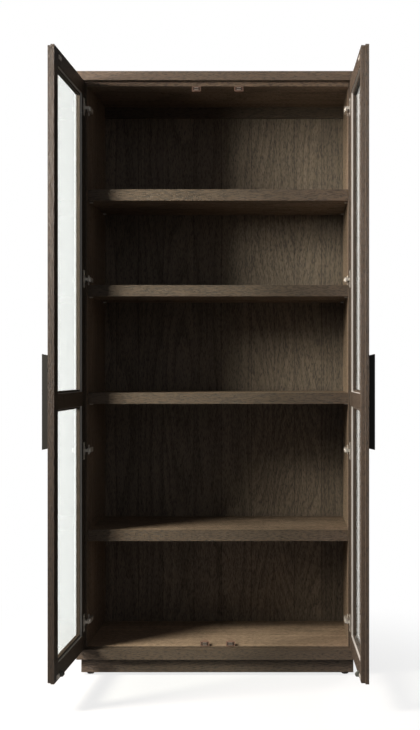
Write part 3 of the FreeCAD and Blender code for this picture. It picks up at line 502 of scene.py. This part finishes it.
def bare_beech(timber):
    """Beech as it leaves the saw: pale, close-grained and dull, with short flecks."""
    material, tree, shader = blank_material("bare_beech")
    place = add(tree, "ShaderNodeTexCoord").outputs["Object"]
    # A fleck is about 1 mm wide and 6 mm long.
    flecks = add(tree, "ShaderNodeMapping", {"Vector": place, "Scale": (900.0, 900.0, 160.0)})
    grain = add(tree, "ShaderNodeTexNoise", {"Vector": flecks, "Scale": 1.0, "Detail": 2.0}).outputs["Fac"]
    tone = add(tree, MATH, (grain, 0.5, 0.72), operation="MULTIPLY_ADD")
    base = add(tree, "ShaderNodeVectorMath", {0: timber.beech, "Scale": tone}, operation="SCALE")
    tree.links.new(base.outputs[0], shader.inputs["Base Color"])
    shader.inputs["Roughness"].default_value = 0.7
    return material


def float_glass(fittings):
    """Clear float glass, 4 mm, polished by the tin bath: it mirrors at a slant and tints a little.

    What looks at it sees glass. Light that a rough surface gathers passes straight through, because a
    pane bends no light aside."""
    material, tree, shader = blank_material("float_glass")
    shader.inputs["Base Color"].default_value = rgba(fittings.glass_tint)
    shader.inputs["Roughness"].default_value = 0.0
    shader.inputs["IOR"].default_value = 1.52
    shader.inputs["Transmission Weight"].default_value = 1.0
    let_through = 0.96
    let_colour = rgba([value * let_through for value in fittings.glass_tint])
    clear = add(tree, "ShaderNodeBsdfTransparent", {"Color": let_colour})
    path = add(tree, "ShaderNodeLightPath").outputs
    looked_at = add(tree, MATH, (path["Is Camera Ray"], path["Is Singular Ray"]), operation="MAXIMUM")
    both = add(tree, "ShaderNodeMixShader", (looked_at, clear, shader))
    tree.links.new(both.outputs[0], material_output(tree).inputs["Surface"])
    return material


def powder_coated_steel(fittings):
    """Folded steel sheet under a fine black powder coat: satin, with a faint orange peel."""
    material, tree, shader = blank_material("powder_coated_steel")
    place = add(tree, "ShaderNodeTexCoord").outputs["Object"]
    crest_to_crest, peel_height = 1.5 * MM, 0.2 * MM
    peel_inputs = {"Vector": place, "Scale": 1 / crest_to_crest, "Detail": 1.0}
    peel = add(tree, "ShaderNodeTexNoise", peel_inputs).outputs["Fac"]
    bump = add(tree, "ShaderNodeBump", {"Strength": 0.12, "Distance": peel_height, "Height": peel})
    tree.links.new(bump.outputs[0], shader.inputs["Normal"])
    shader.inputs["Base Color"].default_value = rgba(fittings.powder_coat)
    shader.inputs["Roughness"].default_value = 0.42
    return material


def nickel_plate(fittings):
    """Bright nickel on stamped steel: a warm silver with drawn lines from the press."""
    material, tree, shader = blank_material("nickel_plate")
    place = add(tree, "ShaderNodeTexCoord").outputs["Object"]
    # A drawn line is 2 mm long and 0.4 mm wide.
    lines = add(tree, "ShaderNodeMapping", {"Vector": place, "Scale": (500.0, 500.0, 2600.0)})
    drawn = add(tree, "ShaderNodeTexNoise", {"Vector": lines, "Scale": 1.0, "Detail": 1.0}).outputs["Fac"]
    rough = add(tree, MATH, (drawn, 0.16, 0.42), operation="MULTIPLY_ADD")
    tree.links.new(rough.outputs[0], shader.inputs["Roughness"])
    shader.inputs["Base Color"].default_value = rgba(fittings.nickel)
    shader.inputs["Metallic"].default_value = 1.0
    return material


def ferrite_and_painted_shade(name, base):
    """Matt dark matter with no gloss of its own: sintered ferrite, and painted shade for the cross in a
    screw's head.
    """
    material, tree, shader = blank_material(name)
    shader.inputs["Base Color"].default_value = rgba(base)
    shader.inputs["Roughness"].default_value = 0.8
    return material


def moulded_plastic(name, base, roughness, grit):
    """Moulded plastic: a spark-eroded mould leaves a fine, even grit, given in mm, that dulls it."""
    material, tree, shader = blank_material(name)
    place = add(tree, "ShaderNodeTexCoord").outputs["Object"]
    grit_height = 0.1 * MM
    speck_inputs = {"Vector": place, "Scale": 1 / (grit * MM), "Detail": 1.0}
    speck = add(tree, "ShaderNodeTexNoise", speck_inputs).outputs["Fac"]
    bump = add(tree, "ShaderNodeBump", {"Strength": 0.15, "Distance": grit_height, "Height": speck})
    tree.links.new(bump.outputs[0], shader.inputs["Normal"])
    shader.inputs["Base Color"].default_value = rgba(base)
    shader.inputs["Roughness"].default_value = roughness
    shader.inputs["IOR"].default_value = 1.46
    return material


# ---------------------------------------------------------------- putting finishes on
def finish(node_names, material, edge_radius=0.0):
    """Gives CAD nodes a material and, with a radius, softened edges."""
    for name in node_names:
        piece = frame["nodes"][name]
        piece.data.materials.clear()
        piece.data.materials.append(material)
        if edge_radius > 0:
            bevel = piece.modifiers.new("softened edges", "BEVEL")
            bevel.width = edge_radius
            bevel.segments = 2
            bevel.limit_method = "ANGLE"
            bevel.angle_limit = math.radians(40)


# ---------------------------------------------------------------- fittings added to the frame
FACING = {"-X": (-1, 0, 0), "+X": (1, 0, 0), "-Y": (0, -1, 0), "-Z": (0, 0, -1), "+Z": (0, 0, 1)}


def on_carcass(x, y, z, facing="-Y"):
    """A place on the carcass in mm, with its local Z turned to where the fitting faces."""
    turn = Vector(FACING[facing]).to_track_quat("Z", "Y").to_matrix().to_4x4()
    return Matrix.Translation(Vector((x, y, z)) * MM) @ turn


def on_door(side, u, w, z):
    """A place on an open door in mm: u from its hinge edge, w out from its inner face, and the
    height; local Z faces into the cabinet as the door closes."""
    sign = SIGNS[side]
    axis = Matrix.Translation(Vector((sign * HINGE_AXIS[0], HINGE_AXIS[1], 0.0)) * MM)
    closed = Matrix.Translation(Vector((-sign * (u - AXIS_IN_DOOR[0]), AXIS_IN_DOOR[1] - w, z)) * MM)
    inwards = Vector((0, 1, 0)).to_track_quat("Z", "Y").to_matrix().to_4x4()
    return axis @ Matrix.Rotation(sign * OPEN_ANGLE, 4, "Z") @ closed @ inwards


def either_way(distance):
    """The same distance to one side and to the other."""
    return (-distance, distance)


def catch_places(name):
    """The middles of a pair of catches in mm, left and right, as (x, z)."""
    offset = span(name, "x")[1] - CATCH_WIDTH / 2
    height = sum(span(name, "z")) / 2
    return [(x, height) for x in either_way(offset)]


def slab(mesh, place, size, slot=0):
    """Adds a box of a size in mm, centred at a place."""
    sized = Matrix.Diagonal((*[side * MM for side in size], 1.0))
    made = bmesh.ops.create_cube(mesh, size=1.0, matrix=place @ sized)
    for face in {face for corner in made["verts"] for face in corner.link_faces}:
        face.material_index = slot


def cross(mesh, place, height=HEAD_HEIGHT):
    """Adds a dark cross of painted shade for a driver's recess, a hair proud of the top of a screw's head.
    """
    top = place @ Matrix.Translation((0.0, 0.0, height * MM)) @ Matrix.Rotation(math.radians(20), 4, "Z")
    long, short, dark = HEAD_RADIUS * 1.1, HEAD_RADIUS * 0.28, 1
    slab(mesh, top, (long, short, 0.1), dark)
    slab(mesh, top, (short, long, 0.12), dark)


def adjuster(mesh, place):
    """Adds the low domed head of an adjusting screw, with the cross in its top."""
    lift = Matrix.Translation((0.0, 0.0, ADJUSTER_HEIGHT / 2 * MM))
    bmesh.ops.create_cone(
        mesh,
        cap_ends=True,
        segments=24,
        radius1=HEAD_RADIUS * MM,
        radius2=HEAD_RADIUS * 0.8 * MM,
        depth=ADJUSTER_HEIGHT * MM,
        matrix=place @ lift,
    )
    cross(mesh, place, ADJUSTER_HEIGHT)


def hinge_screws(mesh, sign, height):
    """Adds a hinge's adjusting screws, and the crosses of those that hold its mounting plate."""
    inwards = "+X" if sign < 0 else "-X"
    for behind in ADJUSTERS:
        arm = sign * (INNER_FACE - ARM_STANDOFF)
        adjuster(mesh, on_carcass(arm, CARCASS_FRONT + behind, height, inwards))
    for up in either_way(PLATE_SCREW_PITCH / 2):
        plate = sign * (INNER_FACE - PLATE_THICKNESS)
        cross(mesh, on_carcass(plate, CARCASS_FRONT + PLATE_MIDDLE, height + up, inwards))


def catch_crosses(mesh, name, up):
    """Adds the crosses of a pair of catches' screws. The ears are at the catches' top where up is 1, and
    at their foot where it is -1."""
    facing = "-Z" if up > 0 else "+Z"
    ear_middle = (CATCH_WIDTH + CATCH_BODY_WIDTH) / 4
    for x, z in catch_places(name):
        ear_face = z + up * (CATCH_HEIGHT / 2 - EAR_THICKNESS)
        for aside in either_way(ear_middle):
            cross(mesh, on_carcass(x + aside, CARCASS_FRONT + CATCH_DEPTH / 2, ear_face, facing))


def door_crosses(mesh, side):
    """Adds the crosses of a door's screws: in the cups' flanges and in the strikes."""
    for height in HINGE_HEIGHTS:
        for up in either_way(FLANGE_SCREW_PITCH / 2):
            cross(mesh, on_door(side, FLANGE_SCREWS, -FLANGE_THICKNESS, height + up))
    cabinet_middle = AXIS_IN_DOOR[0] + HINGE_AXIS[0]
    for name in CATCHES:
        offset, height = catch_places(name)[1]
        for aside in either_way(STRIKE_SCREW_PITCH / 2):
            cross(mesh, on_door(side, cabinet_middle - offset + aside, -STRIKE_THICKNESS, height))


def pane_seal(mesh, side, low, high):
    """Adds the strip round one pane, along the four walls of its rebate."""
    left, right = REBATE_SIDES
    thick, deep = 1.2, 5.6
    w = BEAD_FACE - deep / 2
    for u in (left + thick / 2, right - thick / 2):
        slab(mesh, on_door(side, u, w, (low + high) / 2), (thick, high - low, deep))
    for z in (low + thick / 2, high - thick / 2):
        slab(mesh, on_door(side, (left + right) / 2, w, z), (right - left - 2 * thick, thick, deep))


def catch_face(mesh, x, z):
    """Adds one catch's full-width mouth: its cheeks, the magnet and the ends of its pole plates."""
    # The cheeks stand back, to clear the heads of the strikes' screws.
    setback = 0.3
    cheek = (7.1, CATCH_HEIGHT, EAR_THICKNESS - setback)
    magnet, beside, pole = (17.0, 11.5, 0.2), (4.0, 11.5, 0.2), (14.0, 1.2, 0.3)
    pole_spread = 7.0
    mouth = CARCASS_FRONT - CATCH_NOSE
    nickel, ferrite = 1, 2
    for sign in SIGNS.values():
        outwards = x + sign * (CATCH_BODY_WIDTH + cheek[0]) / 2
        slab(mesh, on_carcass(outwards, CARCASS_FRONT + setback + cheek[2] / 2, z), cheek)
        outwards = x + sign * (CATCH_BODY_WIDTH + beside[0]) / 2
        slab(mesh, on_carcass(outwards, CARCASS_FRONT + setback, z), beside, ferrite)
    slab(mesh, on_carcass(x, mouth, z), magnet, ferrite)
    for up in either_way(pole_spread / 2):
        slab(mesh, on_carcass(x, mouth, z + up), pole, nickel)


def fitting(name, mesh, materials, body):
    """Makes an object of a finished mesh, which rides on a body."""
    data = bpy.data.meshes.new(name)
    mesh.to_mesh(data)
    mesh.free()
    for material in materials:
        data.materials.append(material)
    piece = bpy.data.objects.new(name, data)
    bpy.context.scene.collection.objects.link(piece)
    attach(piece, body)


class BOOKCASE_OT_timber(bpy.types.Operator):
    """Oils every oak board with its own run of grain, and leaves the hidden beech bare"""

    bl_idname = "bookcase.timber"
    bl_label = "Finish the Timber"

    def execute(self, context):
        timber = context.scene.bookcase_timber
        for name, (axes, solid, veneer, nodes) in TIMBER.items():
            # Only the back gets the painted sheen.
            sheen_tint = timber.back_cast if name == "back" else (1.0, 1.0, 1.0)
            material = smoked_oak(f"smoked_oak_{name}", axes, solid, veneer, sheen_tint, timber)
            soft = [node for node in nodes if node not in SHARP_ARRIS]
            finish(soft, material, timber.arris)
            finish([node for node in nodes if node in SHARP_ARRIS], material)
        finish(BARE_WOOD, bare_beech(timber))
        return {"FINISHED"}


class BOOKCASE_OT_glass(bpy.types.Operator):
    """Glazes both doors"""

    bl_idname = "bookcase.glass"
    bl_label = "Glaze the Doors"

    def execute(self, context):
        finish(PANES, float_glass(context.scene.bookcase_fittings))
        return {"FINISHED"}


class BOOKCASE_OT_metal(bpy.types.Operator):
    """Coats the pulls and plates the hinges, strikes, screws and shelf supports"""

    bl_idname = "bookcase.metal"
    bl_label = "Finish the Metal"

    def execute(self, context):
        fittings = context.scene.bookcase_fittings
        finish(PULLS, powder_coated_steel(fittings), fittings.fold_radius)
        finish(NICKELLED, nickel_plate(fittings))
        return {"FINISHED"}


class BOOKCASE_OT_screws(bpy.types.Operator):
    """Adds the hinges' adjusting screws, and the crosses in the heads of the screws that show"""

    bl_idname = "bookcase.screws"
    bl_label = "Add the Screws"

    def execute(self, context):
        nickel = bpy.data.materials["nickel_plate"]
        # The crosses are painted shade for the drivers' recesses.
        dark = ferrite_and_painted_shade("screw_recess", context.scene.bookcase_fittings.recess)
        carcass = bmesh.new()
        for sign in SIGNS.values():
            for height in HINGE_HEIGHTS:
                hinge_screws(carcass, sign, height)
        catch_crosses(carcass, "top_catches", 1)
        catch_crosses(carcass, "bottom_catches", -1)
        fitting("carcass_screws", carcass, (nickel, dark), "carcass")
        for side in SIDES:
            door = bmesh.new()
            door_crosses(door, side)
            fitting(f"{side}_screw_crosses", door, (nickel, dark), f"{side}_door")
        return {"FINISHED"}


class BOOKCASE_OT_seals(bpy.types.Operator):
    """Lays a pale vinyl strip round every pane, on the beads and against the frame"""

    bl_idname = "bookcase.seals"
    bl_label = "Seal the Panes"

    def execute(self, context):
        vinyl = moulded_plastic("extruded_vinyl", context.scene.bookcase_fittings.seal, 0.4, 0.6)
        for side in SIDES:
            seals = bmesh.new()
            for low, high in REBATE_ENDS:
                pane_seal(seals, side, low, high)
            fitting(f"{side}_glazing_seals", seals, (vinyl,), f"{side}_door")
        return {"FINISHED"}


class BOOKCASE_OT_plastic(bpy.types.Operator):
    """Finishes the catches, the doors' glides and the feet"""

    bl_idname = "bookcase.plastic"
    bl_label = "Finish the Plastic"

    def execute(self, context):
        fittings = context.scene.bookcase_fittings
        brown = moulded_plastic("moulded_abs", fittings.moulding, 0.5, 0.4)
        black = moulded_plastic("moulded_polyamide", fittings.foot, 0.6, 0.5)
        grey = moulded_plastic("moulded_grey_polyamide", fittings.glide, 0.5, 0.5)
        finish(CATCHES, brown, MOULDED_EDGE * MM)
        finish(GLIDES, grey, MOULDED_EDGE * MM)
        finish(FEET, black)
        return {"FINISHED"}


class BOOKCASE_OT_catch_faces(bpy.types.Operator):
    """Gives each catch its full-width mouth: cheeks, the magnet and the ends of its pole plates"""

    bl_idname = "bookcase.catch_faces"
    bl_label = "Face the Catches"

    def execute(self, context):
        materials = (
            bpy.data.materials["moulded_abs"],
            bpy.data.materials["nickel_plate"],
            ferrite_and_painted_shade("ferrite_magnet", context.scene.bookcase_fittings.magnet),
        )
        faces = bmesh.new()
        for name in CATCHES:
            for x, z in catch_places(name):
                catch_face(faces, x, z)
        fitting("catch_faces", faces, materials, "carcass")
        return {"FINISHED"}


# ---------------------------------------------------------------- stage
def aimed(place, target):
    """Rotation that turns a light or camera at one place towards another."""
    return (Vector(target) - Vector(place)).to_track_quat("-Z", "Y").to_euler()


def softbox(name, place, target, width, watts, warmth):
    """A square area light."""
    lamp = bpy.data.lights.new(name, "AREA")
    lamp.shape = "SQUARE"
    lamp.size = width
    lamp.energy = watts
    lamp.color = linear(warmth)
    light = bpy.data.objects.new(name, lamp)
    light.location = place
    light.rotation_euler = aimed(place, target)
    bpy.context.scene.collection.objects.link(light)


def studio_world(stage):
    """A backdrop for what looks at it, straight or through glass, and a dim surround for light."""
    world = bpy.data.worlds.new("studio")
    bpy.context.scene.world = world
    world.use_nodes = True
    tree = world.node_tree
    tree.nodes.clear()
    path = add(tree, "ShaderNodeLightPath").outputs
    bounced = add(tree, MATH, (path["Diffuse Depth"], path["Glossy Depth"]), operation="ADD")
    through_glass = {"operation": "SUBTRACT", "use_clamp": True}
    through = add(tree, MATH, (path["Is Transmission Ray"], bounced), **through_glass)
    behind_glass = add(tree, MATH, (through, stage.backdrop), operation="MULTIPLY")
    seen = add(tree, MATH, (path["Is Camera Ray"], behind_glass), operation="MAXIMUM")
    strength = add(tree, MATH, (seen, stage.ambient), operation="MAXIMUM")
    surround = add(tree, "ShaderNodeBackground", (rgba((1.0, 1.0, 1.0)), strength))
    add(tree, "ShaderNodeOutputWorld", {"Surface": surround})


def studio_floor(stage):
    """A pale matt floor that takes a light shadow and fades into the surround."""
    mesh = bpy.data.meshes.new("studio_floor")
    disc = bmesh.new()
    bmesh.ops.create_circle(disc, cap_ends=True, radius=stage.floor_radius, segments=96)
    disc.to_mesh(mesh)
    disc.free()
    floor = bpy.data.objects.new("studio_floor", mesh)
    # Just below the feet, so that their pads share no plane with it.
    floor.location.z = -0.4 * MM
    bpy.context.scene.collection.objects.link(floor)
    material, tree, shader = blank_material("matt_floor")
    shader.inputs["Base Color"].default_value = rgba(stage.floor)
    shader.inputs["Roughness"].default_value = 0.85
    place = add(tree, "ShaderNodeTexCoord").outputs["Object"]
    away = add(tree, "ShaderNodeVectorMath", {0: place}, operation="LENGTH").outputs["Value"]
    fade_from = 0.3 * stage.floor_radius
    reach = {"Value": away, "From Min": fade_from, "From Max": stage.floor_radius}
    fade = add(tree, "ShaderNodeMapRange", reach, interpolation_type="SMOOTHSTEP")
    share = (fade, stage.floor_strength, 1.0 - stage.floor_strength)
    thinned = add(tree, MATH, share, operation="MULTIPLY_ADD")
    clear = add(tree, "ShaderNodeBsdfTransparent")
    both = add(tree, "ShaderNodeMixShader", (thinned, shader, clear))
    tree.links.new(both.outputs[0], material_output(tree).inputs["Surface"])
    mesh.materials.append(material)


class BOOKCASE_OT_stage(bpy.types.Operator):
    """Sets the camera, the softboxes and the pale floor"""

    bl_idname = "bookcase.stage"
    bl_label = "Set the Stage"

    def execute(self, context):
        scene = context.scene
        stage = scene.bookcase_stage
        lens = bpy.data.cameras.new("camera")
        lens.lens = stage.lens
        lens.sensor_width = 36.0
        lens.shift_x, lens.shift_y = stage.shift
        lens.clip_start, lens.clip_end = 0.05, 60.0
        camera = bpy.data.objects.new("camera", lens)
        camera.location = stage.camera_place
        camera.rotation_euler = Euler((math.radians(90), 0.0, 0.0))
        scene.collection.objects.link(camera)
        scene.camera = camera
        scene.view_settings.view_transform = "Standard"
        for name, (place, target, width, warmth) in SOFTBOXES.items():
            softbox(name, place, target, width, getattr(stage, f"{name}_power"), warmth)
        studio_world(stage)
        studio_floor(stage)
        return {"FINISHED"}


class BOOKCASE_PT_panel(bpy.types.Panel):
    """The bookcase's finishes and stage"""

    bl_idname = "BOOKCASE_PT_panel"
    bl_label = "Bookcase"
    bl_space_type = "VIEW_3D"
    bl_region_type = "UI"
    bl_category = "Bookcase"

    def draw(self, context):
        for group in GROUPS:
            box = self.layout.box()
            box.label(text=group.__doc__)
            settings = getattr(context.scene, group_name(group))
            for prop in group.__annotations__:
                box.prop(settings, prop)
        for operator in OPERATORS:
            self.layout.operator(operator.bl_idname)


GROUPS = (BOOKCASE_PG_timber, BOOKCASE_PG_fittings, BOOKCASE_PG_stage)
OPERATORS = (
    BOOKCASE_OT_timber,
    BOOKCASE_OT_glass,
    BOOKCASE_OT_metal,
    BOOKCASE_OT_plastic,
    BOOKCASE_OT_screws,
    BOOKCASE_OT_seals,
    BOOKCASE_OT_catch_faces,
    BOOKCASE_OT_stage,
)


def group_name(group):
    """The scene property that holds a group of settings."""
    return group.__name__.lower().replace("_pg_", "_")


def register():
    for group in GROUPS:
        bpy.utils.register_class(group)
        setattr(bpy.types.Scene, group_name(group), bpy.props.PointerProperty(type=group))
    for operator in OPERATORS:
        bpy.utils.register_class(operator)
    bpy.utils.register_class(BOOKCASE_PT_panel)


def unregister():
    bpy.utils.unregister_class(BOOKCASE_PT_panel)
    for operator in reversed(OPERATORS):
        bpy.utils.unregister_class(operator)
    for group in reversed(GROUPS):
        delattr(bpy.types.Scene, group_name(group))
        bpy.utils.unregister_class(group)


def main():
    register()
    for operator in OPERATORS:
        module, name = operator.bl_idname.split(".")
        getattr(getattr(bpy.ops, module), name)()


if __name__ == "__main__":
    main()
